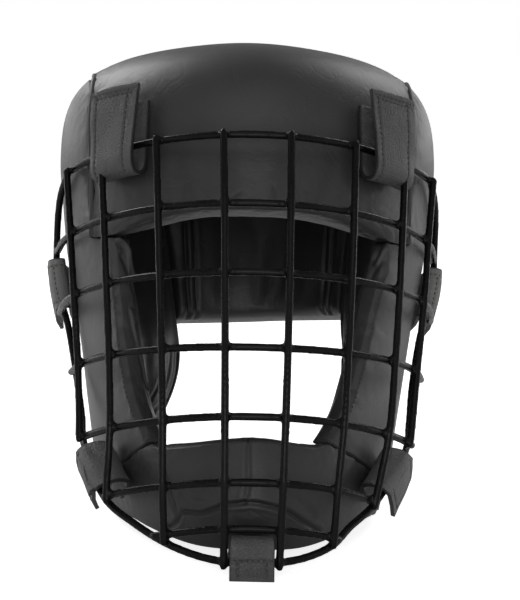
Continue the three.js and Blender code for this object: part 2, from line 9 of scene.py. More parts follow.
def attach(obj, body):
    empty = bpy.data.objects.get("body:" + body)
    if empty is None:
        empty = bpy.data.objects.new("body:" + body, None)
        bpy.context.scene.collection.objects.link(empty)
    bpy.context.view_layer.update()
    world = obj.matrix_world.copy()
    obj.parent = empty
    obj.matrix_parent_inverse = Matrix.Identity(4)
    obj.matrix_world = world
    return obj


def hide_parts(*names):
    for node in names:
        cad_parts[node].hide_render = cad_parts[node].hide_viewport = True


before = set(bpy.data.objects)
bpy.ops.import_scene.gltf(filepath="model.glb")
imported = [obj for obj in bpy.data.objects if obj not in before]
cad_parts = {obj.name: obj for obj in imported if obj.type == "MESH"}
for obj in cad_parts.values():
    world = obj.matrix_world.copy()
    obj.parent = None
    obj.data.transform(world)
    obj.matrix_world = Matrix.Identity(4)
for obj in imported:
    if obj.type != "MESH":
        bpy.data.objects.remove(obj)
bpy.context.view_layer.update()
scene = bpy.context.scene

# The helmet is described upright in millimetres, x to the right, y to the back, z up,
# and the matrix stand leans it back and sets it on the floor in metres.
standing = {"lean": 20, "footY": 127.74, "footZ": -162.74}
stand = (Matrix.Scale(0.001, 4)
         @ Matrix.Translation((0, -standing["footY"], -standing["footZ"]))
         @ Matrix.Rotation(math.radians(-standing["lean"]), 4, "X"))
unstand = stand.inverted()


def moved(points, matrix):
    return np.asarray(points) @ np.array(matrix.to_3x3()).T + np.array(matrix.translation)


def cubicStep(start, rise, leaving, arriving, t):  # part of the way along a smooth step
    square, cube = 3 * rise - 2 * leaving - arriving, leaving + arriving - 2 * rise
    return start + t * (leaving + t * (square + t * cube))


def eased(rows, column, at):  # a table's column at any place along its first one
    i = 0
    while i < len(rows) - 2 and at > rows[i + 1][0]:
        i += 1

    def slope(a, b):
        first, last = rows[max(a, 0)], rows[min(b, len(rows) - 1)]
        return (last[column] - first[column]) / (last[0] - first[0])

    span = rows[i + 1][0] - rows[i][0]
    t = min(max((at - rows[i][0]) / span, 0), 1)
    return cubicStep(rows[i][column], rows[i + 1][column] - rows[i][column],
                     slope(i - 1, i + 1) * span, slope(i, i + 2) * span, t)


def smoothstep(x, low, high):
    t = np.clip((np.asarray(x, float) - low) / (high - low), 0, 1)
    return t * t * (3 - 2 * t)


shell = {"middle": 165, "shoulder": 90, "domeHeight": 69, "frontFullness": 2.7, "sideFullness": 3.6,
         "backReach": 22, "backFrom": 180, "backTo": 265}
shellLevels = [  # height, half width, front, back
    (-158, 50, 70, 246), (-148, 63, 53, 254), (-134, 73, 40, 262), (-112, 81, 34, 268), (-84, 88, 35, 272),
    (-45, 94, 38, 276), (0, 101, 38, 279), (40, 108.5, 38, 280), (72, 112, 40, 280), (90, 114.5, 42, 279)]
heights = np.arange(-158, 91, 1.0)
halfWidths, fronts, backs = [np.array([eased(shellLevels, k, z) for z in heights]) for k in (1, 2, 3)]


def fullness(across, along):
    side = across ** 2 / np.maximum(across ** 2 + along ** 2, 1e-12)
    return shell["frontFullness"] + (shell["sideFullness"] - shell["frontFullness"]) * side ** 2


def shellFill(p):  # 1 on the outer surface, less inside it
    x, y, z = p[..., 0], p[..., 1], p[..., 2]
    level = np.minimum(z, shell["shoulder"])
    edge = np.where(y < shell["middle"], np.interp(level, heights, fronts), np.interp(level, heights, backs))
    across = x / np.interp(level, heights, halfWidths)
    along = (y - shell["middle"]) / (edge - shell["middle"])
    power = fullness(across, along)
    up = np.maximum(z - shell["shoulder"], 0) / shell["domeHeight"]
    return (np.hypot(across, along) ** power + up ** power) ** (1 / power)


def onShell(p):
    fill = shellFill(p)
    z = np.where(p[..., 2] > shell["shoulder"], shell["shoulder"] + (p[..., 2] - shell["shoulder"]) / fill,
                 p[..., 2])
    return np.stack([p[..., 0] / fill, shell["middle"] + (p[..., 1] - shell["middle"]) / fill, z], -1)


def outward(p):
    step = 0.5 * np.eye(3)
    slope = np.stack([shellFill(p + s) - shellFill(p - s) for s in step], -1)
    return slope / np.linalg.norm(slope, axis=-1, keepdims=True)


def footOf(p, passes=6):  # the place on the shell that a point stands straight over
    foot = onShell(p)
    for _ in range(passes):
        out = outward(foot)
        foot = onShell(p - out * np.sum((p - foot) * out, -1, keepdims=True))
    return foot


def ringPoint(angle, z):
    level = min(z, shell["shoulder"])
    edge = np.interp(level, heights, fronts if abs(angle) < 90 else backs)
    turn = math.radians(angle)
    power = fullness(math.sin(turn), math.cos(turn))
    shrink = (1 - (max(z - shell["shoulder"], 0) / shell["domeHeight"]) ** power) ** (1 / power)
    x = shrink * np.interp(level, heights, halfWidths) * math.sin(turn)
    return np.array([x, shell["middle"] - shrink * abs(edge - shell["middle"]) * math.cos(turn), z])


def drawnOver(point):
    shift = shell["backReach"] * smoothstep(point[1], shell["backFrom"], shell["backTo"])
    return onShell(point + np.array([float(shift), 0, 0]))


curveSteps = np.linspace(0, 1, 24, endpoint=False)[:, None]


def curveThrough(points, count):  # evenly spaced places on a smooth line through points
    points = np.asarray(points, float)
    knots = np.concatenate([[0], np.cumsum(np.linalg.norm(np.diff(points, axis=0), axis=1) ** 0.5)])
    slopes = np.gradient(points, knots, axis=0)
    fine = []
    for i in range(len(points) - 1):
        span = knots[i + 1] - knots[i]
        fine.append(cubicStep(points[i], points[i + 1] - points[i], slopes[i] * span, slopes[i + 1] * span,
                              curveSteps))
    fine = np.vstack(fine + [points[-1:]])
    along = np.concatenate([[0], np.cumsum(np.linalg.norm(np.diff(fine, axis=0), axis=1))])
    places = np.linspace(0, along[-1], count)
    return np.stack([np.interp(places, along, fine[:, k]) for k in range(3)], -1)


def lineLength(points):
    return float(np.linalg.norm(np.diff(points, axis=0), axis=1).sum())


def nearLine(points, line):  # distance to a line and how far along it
    a, b = line[:-1], line[1:]
    span = b - a
    along = np.concatenate([[0], np.cumsum(np.linalg.norm(span, axis=1))])
    best = np.full(len(points), 1e9)
    place = np.zeros(len(points))
    for k in range(len(a)):
        t = np.clip((points - a[k]) @ span[k] / max(span[k] @ span[k], 1e-12), 0, 1)
        distance = np.linalg.norm(points - (a[k] + t[:, None] * span[k]), axis=1)
        nearer = distance < best
        best[nearer] = distance[nearer]
        place[nearer] = (along[k] + t * (along[k + 1] - along[k]))[nearer]
    return best, place


sideSeam = [  # angle round from the front on the left and the right, and height
    (47, 47, 30), (59, 59, 35), (57.6, 57.6, 46), (56.2, 56.2, 67), (55.6, 55.6, 88), (56.2, 56.2, 105),
    (57.6, 57.6, 120), (64, 64, 136), (76, 76, 144.3), (90, 90, 146.8), (103, 103, 144.5), (115, 115, 137.5),
    (125.5, 124, 125), (133.5, 131, 108), (138, 135, 88), (140, 137, 63), (140.5, 137, 39), (140.3, 136, 15)]
jawSeam = [(39.5, 28, -87.7), (56, 52, -97), (70, 70, -106), (82, 82, -113)]
# the crown's seams bow between the places of the side seams with these numbers
crownFront = {"place": 8, "middle": 122, "side": 140}
crownBack = {"place": 11, "middle": 226, "side": 213}


def seamLine(side, first=1, last=17, rows=sideSeam):
    column = 1 if side > 0 else 0
    return np.array([drawnOver(ringPoint(side * row[column], row[2])) for row in rows[first:last + 1]])


def crownSeam(bow):
    ends = [seamLine(side, bow["place"], bow["place"])[0] for side in (-1, 1)]
    columns = np.linspace(-1, 1, 11)
    points = [onShell(np.array([c * ends[1][0], bow["middle"] + (bow["side"] - bow["middle"]) * c * c,
                                shell["shoulder"] + shell["domeHeight"]])) for c in columns]
    points[0], points[-1] = ends
    return np.array(points)


browEdge = [(0, 38.3), (36, 38.3), (54, 36.5), (75, 31), (93, 30)]  # x and height
cheekEdge = [(65.3, 54.5, -68), (70.5, 60.5, -48), (73.5, 65.8, -28), (75.7, 70.3, -8), (78, 75, 11)]


def frontPoint(x, z):
    halfWidth, front = np.interp(z, heights, halfWidths), np.interp(z, heights, fronts)
    return np.array([x, shell["middle"] - (shell["middle"] - front) * math.sqrt(1 - (x / halfWidth) ** 2), z])


def browLine(reach=80):
    return np.array([frontPoint(x, eased(browEdge, 1, abs(x))) for x in np.linspace(-reach, reach, 25)])


def cheekLine(side):
    column = 1 if side > 0 else 0
    rows = [frontPoint(side * row[column], row[2]) for row in cheekEdge]
    return np.array([seamLine(side, 0, 0, jawSeam)[0], *rows, seamLine(side, 0, 0)[0]])


seams = {
    "left": curveThrough(seamLine(-1), 220), "right": curveThrough(seamLine(1), 220),
    "crownFront": curveThrough(crownSeam(crownFront), 90),
    "crownBack": curveThrough(crownSeam(crownBack), 90),
    "jawLeft": curveThrough(seamLine(-1, 0, 3, jawSeam), 50),
    "jawRight": curveThrough(seamLine(1, 0, 3, jawSeam), 50)}
edges = {"brow": curveThrough(browLine(), 80), "cheekLeft": curveThrough(cheekLine(-1), 60),
         "cheekRight": curveThrough(cheekLine(1), 60)}


def newMaterial(name):
    material = bpy.data.materials.new(name)
    material.use_nodes = True
    tree = material.node_tree
    return material, tree, tree.nodes["Principled BSDF"]


def feed(tree, socket, value):  # a constant straight on the socket, or another node's output
    if isinstance(value, bpy.types.NodeSocket):
        tree.links.new(value, socket)
    else:
        socket.default_value = value


def feedAll(tree, made, values):
    for name, value in values.items():
        feed(tree, made.inputs[name], value)


def mathNode(tree, operation, *values, clamp=False):
    made = tree.nodes.new("ShaderNodeMath")
    made.operation, made.use_clamp = operation, clamp
    for socket, value in zip(made.inputs, values):
        feed(tree, socket, value)
    return made.outputs[0]


def mixNode(tree, kind, factor, a, b):
    made = tree.nodes.new("ShaderNodeMix")
    made.data_type = kind
    feedAll(tree, made, {"Factor": factor, "A": a, "B": b})
    return made.outputs["Result"]


def rampNode(tree, factor, stops):
    made = tree.nodes.new("ShaderNodeValToRGB")
    tree.links.new(factor, made.inputs["Fac"])
    while len(made.color_ramp.elements) < len(stops):
        made.color_ramp.elements.new(0.5)
    for element, (place, colour) in zip(made.color_ramp.elements, stops):
        element.position, element.color = place, (*colour, 1)
    return made.outputs["Color"]


def placeNode(tree):
    return tree.nodes.new("ShaderNodeTexCoord").outputs["Object"]


def noiseNode(tree, scale, detail, roughness, distortion=0):
    made = tree.nodes.new("ShaderNodeTexNoise")
    feedAll(tree, made, {"Vector": placeNode(tree), "Scale": scale, "Detail": detail, "Roughness": roughness,
                         "Distortion": distortion})
    return made


def attributeNode(tree, name):
    made = tree.nodes.new("ShaderNodeAttribute")
    made.attribute_name = name
    return made.outputs["Fac"]


def bumpNode(tree, height, strength, distance, under=None, sunk=False):
    made = tree.nodes.new("ShaderNodeBump")
    made.invert = sunk
    feedAll(tree, made, {"Height": height, "Strength": strength, "Distance": distance})
    if under is not None:
        tree.links.new(under, made.inputs["Normal"])
    return made.outputs["Normal"]


grainShape = {"brokenScale": 0.6, "broken": 0.004, "edge": 0.22}
# black for cut strap edges, and for the dark thread with painted shade along sewn lines on the pads
cutEdgeAndSeamShadeBlack = (0.006, 0.006, 0.006, 1)


def leatherMaterial(name, look):
    material, tree, shader = newMaterial(name)
    wearAndPaintedLight = attributeNode(tree, "wearAndPaintedLight")
    broken = noiseNode(tree, look["grainScale"] * grainShape["brokenScale"], 2, 0.6).outputs["Color"]
    pores = tree.nodes.new("ShaderNodeTexVoronoi")
    pores.feature = "DISTANCE_TO_EDGE"
    feedAll(tree, pores, {"Vector": mixNode(tree, "VECTOR", grainShape["broken"], placeNode(tree), broken),
                          "Scale": look["grainScale"]})
    grain = rampNode(tree, pores.outputs["Distance"], [(0, (0, 0, 0)), (grainShape["edge"], (1, 1, 1))])
    fine = noiseNode(tree, look["fineScale"], 3, 0.65).outputs["Fac"]
    patches = noiseNode(tree, look["patchScale"], 4, 0.6).outputs["Fac"]
    creases = rampNode(tree, noiseNode(tree, look["creaseScale"], 3, 0.55, 1.4).outputs["Fac"],
                       [(0.46, (0, 0, 0)), (0.5, (1, 1, 1)), (0.54, (0, 0, 0))])
    # colour: a dark dye, lighter where it is handled and worn and, on the temple and jaw straps, painted
    # lighter for the side light falling on them; black on cut edges, and black along the sewn lines of the
    # pads for the dark thread with painted shade in the seam
    colour = rampNode(tree, patches, [(0.3, look["dark"]), (0.5, look["middle"]), (0.72, look["light"])])
    amount = mathNode(tree, "MULTIPLY", mathNode(tree, "MULTIPLY", wearAndPaintedLight, patches), look["wearAndPaintedLight"], clamp=True)
    wornAndPaintedLightColour = mixNode(tree, "RGBA", amount, colour, (*look["wornAndPaintedLightColour"], 1))
    # roughness: smoother on top of the grain, rougher in worn places
    rough = mathNode(tree, "MULTIPLY_ADD", patches, look["roughSpread"],
                     look["rough"] - 0.5 * look["roughSpread"])
    rough = mathNode(tree, "MULTIPLY_ADD", grain, -look["grainGloss"], rough)
    # bump: pores, a finer tooth and long soft creases
    bump = bumpNode(tree, grain, look["grainBump"], look["grainDepth"])
    bump = bumpNode(tree, fine, look["fineBump"], look["grainDepth"], bump)
    bump = bumpNode(tree, creases, look["creaseBump"], look["creaseDepth"], bump, True)
    feedAll(tree, shader, {
        "Base Color": mixNode(tree, "RGBA", attributeNode(tree, "cutEdgeAndSeamShade"), wornAndPaintedLightColour, cutEdgeAndSeamShadeBlack),
        "Roughness": mathNode(tree, "MULTIPLY_ADD", wearAndPaintedLight, look["wornRough"], rough), "Normal": bump,
        "Specular IOR Level": look["specular"], "Sheen Weight": look["sheen"], "Sheen Roughness": 0.4,
        "Coat Weight": look["coat"], "Coat Roughness": look["coatRough"]})
    return material


padLook = {"grainScale": 900, "fineScale": 2600, "patchScale": 9, "creaseScale": 26,
           "dark": (0.023, 0.023, 0.024), "middle": (0.028, 0.028, 0.029), "light": (0.034, 0.034, 0.035),
           "wornAndPaintedLightColour": (0.095, 0.094, 0.092), "wearAndPaintedLight": 0.8, "rough": 0.43, "roughSpread": 0.12,
           "grainGloss": 0.03, "wornRough": 0.1, "grainBump": 0.22, "grainDepth": 0.0004, "fineBump": 0.12,
           "creaseBump": 0.12, "creaseDepth": 0.0006, "specular": 0.5, "sheen": 0.03, "coat": 0.12,
           "coatRough": 0.3}
# the straps are lightened towards a paler colour in worn places, and on the temple and jaw straps as painted
# light
strapLook = dict(padLook, grainScale=560, grainBump=0.5, grainDepth=0.0007, creaseScale=60, creaseBump=0.2,
                 dark=(0.036, 0.036, 0.037), middle=(0.044, 0.044, 0.045), light=(0.054, 0.054, 0.055),
                 wornAndPaintedLightColour=(0.3, 0.295, 0.288), rough=0.5, wearAndPaintedLight=0.9)
padLeather = leatherMaterial("dark grey pad leather", padLook)
strapLeather = leatherMaterial("grained strap leather", strapLook)
weltLeather = leatherMaterial("seam welt leather", dict(padLook, rough=0.5))
threadLook = {"dark": (0.018, 0.018, 0.0186), "light": (0.039, 0.039, 0.0403), "fibreScale": 2400,
              "bump": 0.5, "depth": 0.0002, "rough": 0.6, "sheen": 0.2}


def threadMaterial(name, look):
    material, tree, shader = newMaterial(name)
    fibres = noiseNode(tree, look["fibreScale"], 3, 0.7).outputs["Fac"]
    feedAll(tree, shader, {
        "Base Color": rampNode(tree, fibres, [(0.3, look["dark"]), (0.7, look["light"])]),
        "Normal": bumpNode(tree, fibres, look["bump"], look["depth"]),
        "Roughness": look["rough"], "Sheen Weight": look["sheen"]})
    return material


thread = threadMaterial("waxed dark thread", threadLook)
wireLook = {"dark": (0.0035, 0.0035, 0.004), "scuffed": (0.014, 0.014, 0.0145), "rough": 0.2,
            "scuffedRough": 0.36, "peelScale": 260, "peelBump": 0.12, "peelDepth": 0.0004, "scuffScale": 90,
            "specular": 0.17}


def coatedWireMaterial(name, look):
    material, tree, shader = newMaterial(name)
    peel = noiseNode(tree, look["peelScale"], 2, 0.5).outputs["Fac"]
    scuffs = noiseNode(tree, look["scuffScale"], 5, 0.7).outputs["Fac"]
    feedAll(tree, shader, {
        "Base Color": rampNode(tree, scuffs, [(0.35, look["dark"]), (0.62, look["dark"]),
                                              (0.8, look["scuffed"])]),
        "Roughness": rampNode(tree, scuffs, [(0.3, (look["rough"],) * 3),
                                             (0.75, (look["scuffedRough"],) * 3)]),
        "Normal": bumpNode(tree, peel, look["peelBump"], look["peelDepth"]),
        "Specular IOR Level": look["specular"]})
    return material


coatedWire = coatedWireMaterial("black dipped wire coating", wireLook)


def addObject(name, data):
    made = bpy.data.objects.new(name, data)
    scene.collection.objects.link(made)
    return made


def meshPoints(mesh):
    values = np.zeros(len(mesh.vertices) * 3)
    mesh.vertices.foreach_get("co", values)
    return values.reshape(-1, 3)


def meshNormals(mesh):  # in the upright helmet's own directions
    values = np.zeros(len(mesh.vertices) * 3)
    mesh.vertex_normals.foreach_get("vector", values)
    return values.reshape(-1, 3) @ np.array(Matrix.Rotation(math.radians(-standing["lean"]), 3, "X"))


def setPoints(mesh, points):
    mesh.vertices.foreach_set("co", np.ascontiguousarray(points, np.float32).ravel())
    mesh.update()


def applied(made):  # the object with its modifiers worked into its mesh
    graph = bpy.context.evaluated_depsgraph_get()
    graph.update()
    mesh = bpy.data.meshes.new_from_object(made.evaluated_get(graph))
    old = made.data
    made.modifiers.clear()
    made.data = mesh
    bpy.data.meshes.remove(old)
    return made


def subdivided(made, levels):
    modifier = made.modifiers.new("smooth", "SUBSURF")
    modifier.levels = modifier.render_levels = levels
    return applied(made)


def smoothShaded(made):
    made.data.polygons.foreach_set("use_smooth", [True] * len(made.data.polygons))
    made.data.update()


def setAttribute(mesh, name, values):
    layer = mesh.attributes.get(name) or mesh.attributes.new(name, "FLOAT", "POINT")
    layer.data.foreach_set("value", np.asarray(values, np.float32))


def finished(made, material, slotName, *nodes):
    made.data.materials.clear()
    made.data.materials.append(material)
    smoothShaded(made)
    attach(made, "root")
    if nodes:
        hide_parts(*nodes)
    return made


# angles in degrees, sizes in millimetres, outer and wall limits by how squarely a face looks out
padding = {"joinFace": 50, "joinShape": 120, "creaseFrom": 28, "settle": -0.8, "outerFrom": 0.6,
           "outerTo": 0.9, "wallLimit": 0.55, "frames": 20, "cap": 3.2, "fill": 0.8}
# the cloth settings while the pads are puffed
stuffing = {"quality": 5, "mass": 0.4, "tension_stiffness": 25, "compression_stiffness": 25,
            "shear_stiffness": 10, "bending_stiffness": 2.0, "use_pressure": True,
            "uniform_pressure_force": 4.0, "vertex_group_mass": "walls"}
# how crisp each pad's edges stay
padCrease = {"forehead_pad": 0.5, "crown_pad": 0.6, "back_pad": 0.25, "side_pad_left": 0.5,
             "side_pad_right": 0.5, "chin_pad": 0.3}
# where two pads are sewn tight: along the first two places of the temple seam and along the jaw
tight = {"share": 0.25, "from": 4.5, "to": 9.5}
tightLines = [*[curveThrough(seamLine(side, 0, 2), 24) for side in (-1, 1)],
              seams["jawLeft"], seams["jawRight"]]


def drawnTight(points):  # points near a tight seam drawn in to it
    for line in tightLines:
        near = np.nonzero(np.linalg.norm(points - line.mean(0), axis=1)
                          < tight["to"] + np.linalg.norm(line - line.mean(0), axis=1).max())[0]
        gaps = points[near, None] - line[None]
        closest = np.argmin(np.sum(gaps ** 2, 2), 1)
        away = gaps[np.arange(len(near)), closest]
        reach = np.linalg.norm(away, axis=1)
        share = tight["share"] + (1 - tight["share"]) * smoothstep(reach, tight["from"], tight["to"])
        points[near] = line[closest] + away * share[:, None]
    return points


def padStart(name):
    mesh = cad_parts[name].data.copy()
    bm = bmesh.new()
    bm.from_mesh(mesh)
    bmesh.ops.remove_doubles(bm, verts=bm.verts, dist=2e-5)
    bmesh.ops.join_triangles(bm, faces=bm.faces, angle_face_threshold=math.radians(padding["joinFace"]),
                             angle_shape_threshold=math.radians(padding["joinShape"]))
    crease = bm.edges.layers.float.new("crease_edge")
    for edge in bm.edges:
        if edge.calc_face_angle(0) > math.radians(padding["creaseFrom"]):
            edge[crease] = padCrease[name]
    bm.to_mesh(mesh)
    bm.free()
    made = addObject(name.replace("_pad", "") + "_leather", mesh)
    subdivided(made, 2)
    points = moved(meshPoints(made.data), unstand)
    foot = footOf(points, 3)
    out = outward(foot)
    height = np.sum((points - foot) * out, 1)
    facing = np.sum(meshNormals(made.data) * out, 1)
    outer = smoothstep(facing, padding["outerFrom"], padding["outerTo"])
    points -= out * (outer * (height - padding["settle"]))[:, None]
    setPoints(made.data, moved(points, stand))
    walls = made.vertex_groups.new(name="walls")
    for index in np.nonzero(np.abs(facing) < padding["wallLimit"])[0]:
        walls.add([int(index)], 1.0, "REPLACE")
    return made


def puffed(pads):
    rest = {pad.name: meshPoints(pad.data) for pad in pads}
    for pad in pads:
        cloth = pad.modifiers.new("puff", "CLOTH")
        for setting, value in stuffing.items():
            setattr(cloth.settings, setting, value)
        cloth.settings.effector_weights.gravity = 0
        cloth.point_cache.frame_start, cloth.point_cache.frame_end = 1, padding["frames"]
    for number in range(1, padding["frames"] + 1):
        scene.frame_set(number)
    for pad in pads:
        graph = bpy.context.evaluated_depsgraph_get()
        swollen = meshPoints(pad.evaluated_get(graph).data)
        pad.modifiers.clear()
        move = swollen - rest[pad.name]
        size = np.linalg.norm(move, axis=1, keepdims=True)
        cap = padding["cap"] / 1000
        print(pad.name, "puffs by", round(float(size.max() * 1000), 2), "mm at most")
        setPoints(pad.data, rest[pad.name] + move * np.minimum(1, cap / np.maximum(size, 1e-9)))
    scene.frame_set(1)


pads = {name: padStart(name) for name in padCrease}
print("pads laid out", {name: len(pad.data.vertices) for name, pad in pads.items()})
puffed(list(pads.values()))
print("pads puffed")

wrinkles = {"reach": 6.5, "full": 12, "limit": 22, "depth": 0.9, "length": 5.5, "spread": 24, "apart": 17.3}
# folds and sewn lines in the pads: places along them, depth, half width, a raised lip beside them
# and how dark a black line down them is drawn, for the dark thread with painted shade in the seam
padFolds = {
    "chin_pad": [
        {"line": [(-2.2, 38, -84), (-2.0, 34.5, -100), (-1.9, 35.3, -117), (-3.9, 37, -124)], "depth": 1.0,
         "width": 1.2, "lip": 0.4, "sewn": 0.8},
        {"line": [(-47, 66, -137), (-40, 58, -133), (-37.1, 54.2, -127.6), (-27, 47.3, -128.8),
                  (-21, 43, -127.6), (-15.4, 40, -125.4), (-4.4, 37.2, -124), (2.5, 36.6, -124),
                  (18.3, 41.6, -127), (26.8, 48.1, -131), (37.5, 60.5, -135.5)],
         "depth": 1.5, "width": 1.1, "lip": 0.9, "sewn": 0.9},
        {"line": [(-46, 58, -107), (-44.4, 56.6, -113), (-42, 56.6, -120), (-39.7, 56.9, -127)], "depth": 1.1,
         "width": 1.3, "lip": 0.6, "sewn": 0.6},
        {"line": [(-36, 51, -118), (-31, 48, -122), (-26, 45.5, -123)], "depth": 0.5, "width": 1.6,
         "lip": 0.4},
        {"line": [(20, 42, -118), (26, 46, -122), (33, 52, -127)], "depth": 0.5, "width": 2.0, "lip": 0.3}],
    "side_pad_left": [
        {"line": [(-74, 80, 31), (-70.6, 85.6, 27), (-67, 89.7, 18), (-65.7, 94, 10)], "depth": -1.6,
         "width": 1.3, "lip": -1.0},
        {"line": [(-71, 82, 20), (-69, 88, 12), (-68, 92, 2)], "depth": 1.1, "width": 1.6},
        {"line": [(-67.3, 88.6, -10), (-63.5, 90.8, -29.5), (-60.9, 92.1, -40.6), (-58, 92, -56)],
         "depth": -0.9, "width": 0.9, "lip": -0.5},
        {"line": [(-62, 96, 10), (-60, 99, -14), (-57, 100, -40)], "depth": 0.8, "width": 1.4, "lip": 0.4},
        {"line": [(-58, 112, 5), (-57, 112, -20), (-55, 112, -44)], "depth": 0.8, "width": 1.6, "lip": 0.4},
        {"line": [(-85, 80, 24), (-79, 74, 14), (-77, 74, 4)], "depth": 0.6, "width": 2.2}],
    "side_pad_right": [
        {"line": [(74.2, 78, 33), (76, 82, 26), (73, 86, 18)], "depth": -1.4, "width": 1.3, "lip": -0.9},
        {"line": [(70, 82, 24), (72, 86, 14), (70, 90, 4)], "depth": 0.9, "width": 1.6},
        {"line": [(62, 96, 10), (60, 99, -14), (56, 98, -40)], "depth": 0.8, "width": 1.6, "lip": 0.4}],
    "forehead_pad": [
        {"line": [(-57, 62, 34), (-64, 68, 32.5), (-70, 74, 31)], "depth": 0.7, "width": 1.8},
        {"line": [(57, 62, 34), (63, 68, 33.5), (69, 74, 32)], "depth": 0.8, "width": 1.8, "lip": 0.5},
        {"line": [(61, 70, 36), (66, 77, 34), (72, 80, 32)], "depth": 0.7, "width": 1.6}]}
lining = {"depth": 25, "browLip": 23.5}
rearRows = [(115, 115, -96), (119, 118.5, -79), (127, 122, -56), (135.5, 121.5, -37), (139.5, 125, -21),
            (141, 131, -8)]


def liningLine(places, depth):  # a line on the inner side of the pads
    foot = np.array([drawnOver(ringPoint(angle, z)) for angle, z in places])
    return foot - outward(foot) * depth


for side, name in ((-1, "side_pad_left"), (1, "side_pad_right")):
    for back, depth in ((3.5, 1.0), (8, 0.8), (12.5, 0.6)):
        rear = [(side * (row[1 if side > 0 else 0] - back), row[2]) for row in rearRows]
        padFolds[name].append({"line": liningLine(rear, lining["depth"]), "depth": depth, "width": 0.9,
                               "lip": 0.5, "sewn": 0.5})
padFolds["back_pad"] = [
    {"line": liningLine([(side * angle, z) for z in (14, 40, 66, 88)], lining["depth"]), "depth": depth,
     "width": 1.4, "lip": 0.6, "sewn": 0.9}
    for side, angle, depth in ((-1, 145, 1.3), (-1, 148.5, 0.9), (1, 144.5, 1.3), (1, 148, 0.9))]
browLip = browLine(66)
padFolds["forehead_pad"].append({"line": browLip - outward(browLip) * lining["browLip"], "depth": -0.9,
                                 "width": 0.9})
foldShape = {"steps": 30, "lipAt": 2.3, "lipWidth": 1.2, "lipHeight": 0.5, "seamLineWidth": 0.7}
unevenness = {"size": 42, "depth": 0.5, "from": 3, "to": 12}
# soft creases where the leather is drawn in
crumple = {"size": 7.5, "tall": 0.6, "below": 0.25, "depth": 3, "reach": 11, "sides": 0.5}
wearReach = 3.5


def seamWrinkles(points):  # small pleats that run away from the seams, and the distance to one
    move = np.zeros(len(points))
    closest = np.full(len(points), 1e9)
    for number, line in enumerate([*seams.values(), *edges.values()]):
        distance, along = nearLine(points, line[::2])
        near = np.nonzero(distance < wrinkles["limit"])[0]
        waves = np.array([noise.noise((along[k] / wrinkles["length"], distance[k] / wrinkles["spread"],
                                       wrinkles["apart"] * number)) for k in near])
        fade = np.exp(-distance[near] / wrinkles["reach"]) \
            * smoothstep(-distance[near], -wrinkles["limit"], -wrinkles["full"])
        move[near] += wrinkles["depth"] * fade * waves
        closest = np.minimum(closest, distance)
    return move, closest


def foldDepth(points, fold, surface):
    line = [unstand @ surface.find_nearest(stand @ Vector(p))[0]
            for p in curveThrough(fold["line"], foldShape["steps"])]
    distance = nearLine(points, np.array(line))[0]
    width = fold["width"]
    dip = np.exp(-(distance / width) ** 2)
    lip = np.exp(-((distance - foldShape["lipAt"] * width) / (foldShape["lipWidth"] * width)) ** 2)
    # a black line down each sewn fold: the dark thread with painted shade in the seam
    shade = fold.get("sewn", 0) * np.exp(-(distance / foldShape["seamLineWidth"]) ** 2)
    return fold.get("lip", 0) * lip * foldShape["lipHeight"] - fold["depth"] * dip, shade


# how much thinner the pads get at the corners of the eyes
eyeCorner = {"thinner": 0.42, "reach": 24}


def shaped(name, points):
    if name in ("forehead_pad", "side_pad_left", "side_pad_right"):
        foot = footOf(points, 3)
        out = outward(foot)
        depth = np.minimum(np.sum((points - foot) * out, 1), 0)
        for side in (-1, 1):
            corner = seamLine(side, 0, 0)[0]
            near = np.exp(-np.sum((foot - corner) ** 2, 1) / eyeCorner["reach"] ** 2)
            points = points - out * (depth * near * eyeCorner["thinner"])[:, None]
    return points


def onFloor(points):  # set in place, with nothing below the floor
    placed = moved(points, stand)
    placed[:, 2] = np.maximum(placed[:, 2], 0)
    return placed


def surfaceTree(mesh):
    return BVHTree.FromPolygons([v.co for v in mesh.vertices], [p.vertices[:] for p in mesh.polygons])


def finishPad(name, pad):
    subdivided(pad, 2)
    points = shaped(name, drawnTight(moved(meshPoints(pad.data), unstand)))
    setPoints(pad.data, moved(points, stand))
    surface = surfaceTree(pad.data)
    normals = meshNormals(pad.data)
    move, closest = seamWrinkles(points)
    shade = np.zeros(len(points))
    for fold in padFolds.get(name, []):
        depth, dark = foldDepth(points, fold, surface)
        move += depth
        shade = np.maximum(shade, dark)
    move += unevenness["depth"] * np.array([noise.noise(Vector(p) / unevenness["size"]) for p in points]) \
        * smoothstep(closest, unevenness["from"], unevenness["to"])
    crumpled = np.array([abs(noise.noise(Vector((p[0], p[1], crumple["tall"] * p[2])) / crumple["size"]))
                         for p in points])
    share = crumple["sides"] if name.startswith("side") else 1
    move -= crumple["depth"] * share * np.maximum(crumple["below"] - crumpled, 0) \
        * np.exp(-closest / crumple["reach"])
    points += normals * move[:, None]
    setPoints(pad.data, onFloor(points))
    setAttribute(pad.data, "wearAndPaintedLight", np.exp(-closest / wearReach))
    # the black line of thread and painted seam shade goes into the same mix as the cut strap edges
    setAttribute(pad.data, "cutEdgeAndSeamShade", shade)
    finished(pad, padLeather, "pad_leather", name)


for name, pad in pads.items():
    finishPad(name, pad)
print("pads finished", sum(len(pad.data.polygons) for pad in pads.values()), "faces")


